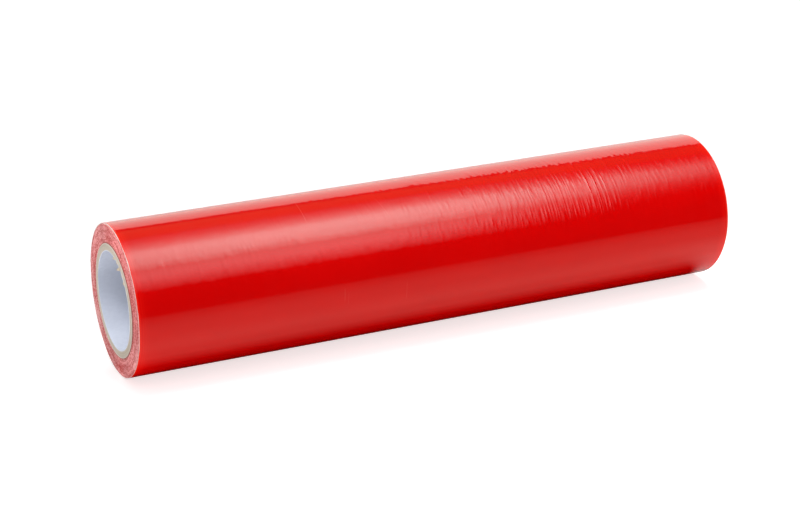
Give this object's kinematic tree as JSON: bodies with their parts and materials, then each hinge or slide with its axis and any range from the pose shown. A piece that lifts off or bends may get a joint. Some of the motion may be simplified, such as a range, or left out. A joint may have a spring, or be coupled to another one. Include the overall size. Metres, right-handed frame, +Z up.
{
  "type": "roll of sign vinyl",
  "caption": "Roll of self-adhesive sign vinyl on its release liner, wound tight on a layered paper core, with a loose tail along the back that lifts.",
  "frame": {"origin": "centre of the core's bore, halfway along the roll", "axes": "+X along the roll towards the end away from the viewer, -Y to the front of the roll, +Z up as it lies on its side"},
  "size_m": [0.5092, 0.1181, 0.1177],
  "materials": {
    "lining_paper": "smooth white paper",
    "core_board": "cut chipboard",
    "wrap_paper": "smooth kraft paper",
    "tape": "translucent double-sided tape",
    "wound_web": "cut edges of film and liner",
    "liner_paper": "siliconised paper",
    "film": "satin gloss vinyl film"
  },
  "bodies": {
    "roll": {"core_lining": "lining_paper", "core_ply_1": "core_board", "core_ply_2": "core_board", "core_ply_3": "core_board", "core_ply_4": "core_board", "core_ply_5": "core_board", "core_ply_6": "core_board", "core_ply_7": "core_board", "core_ply_8": "core_board", "core_wrap": "wrap_paper", "starter_tape": "tape", "inner_turns": "wound_web", "outer_liner": "liner_paper", "outer_film": "film"},
    "tail": {"tail_liner": "liner_paper", "tail_film": "film"}
  },
  "joints": [
    {"name": "tail_lift", "type": "hinge", "parent": "roll", "child": "tail", "pos_m": [0, 0.02967, 0.0514], "axis": [1, 0, 0], "range_deg": [0, 60]}
  ]
}
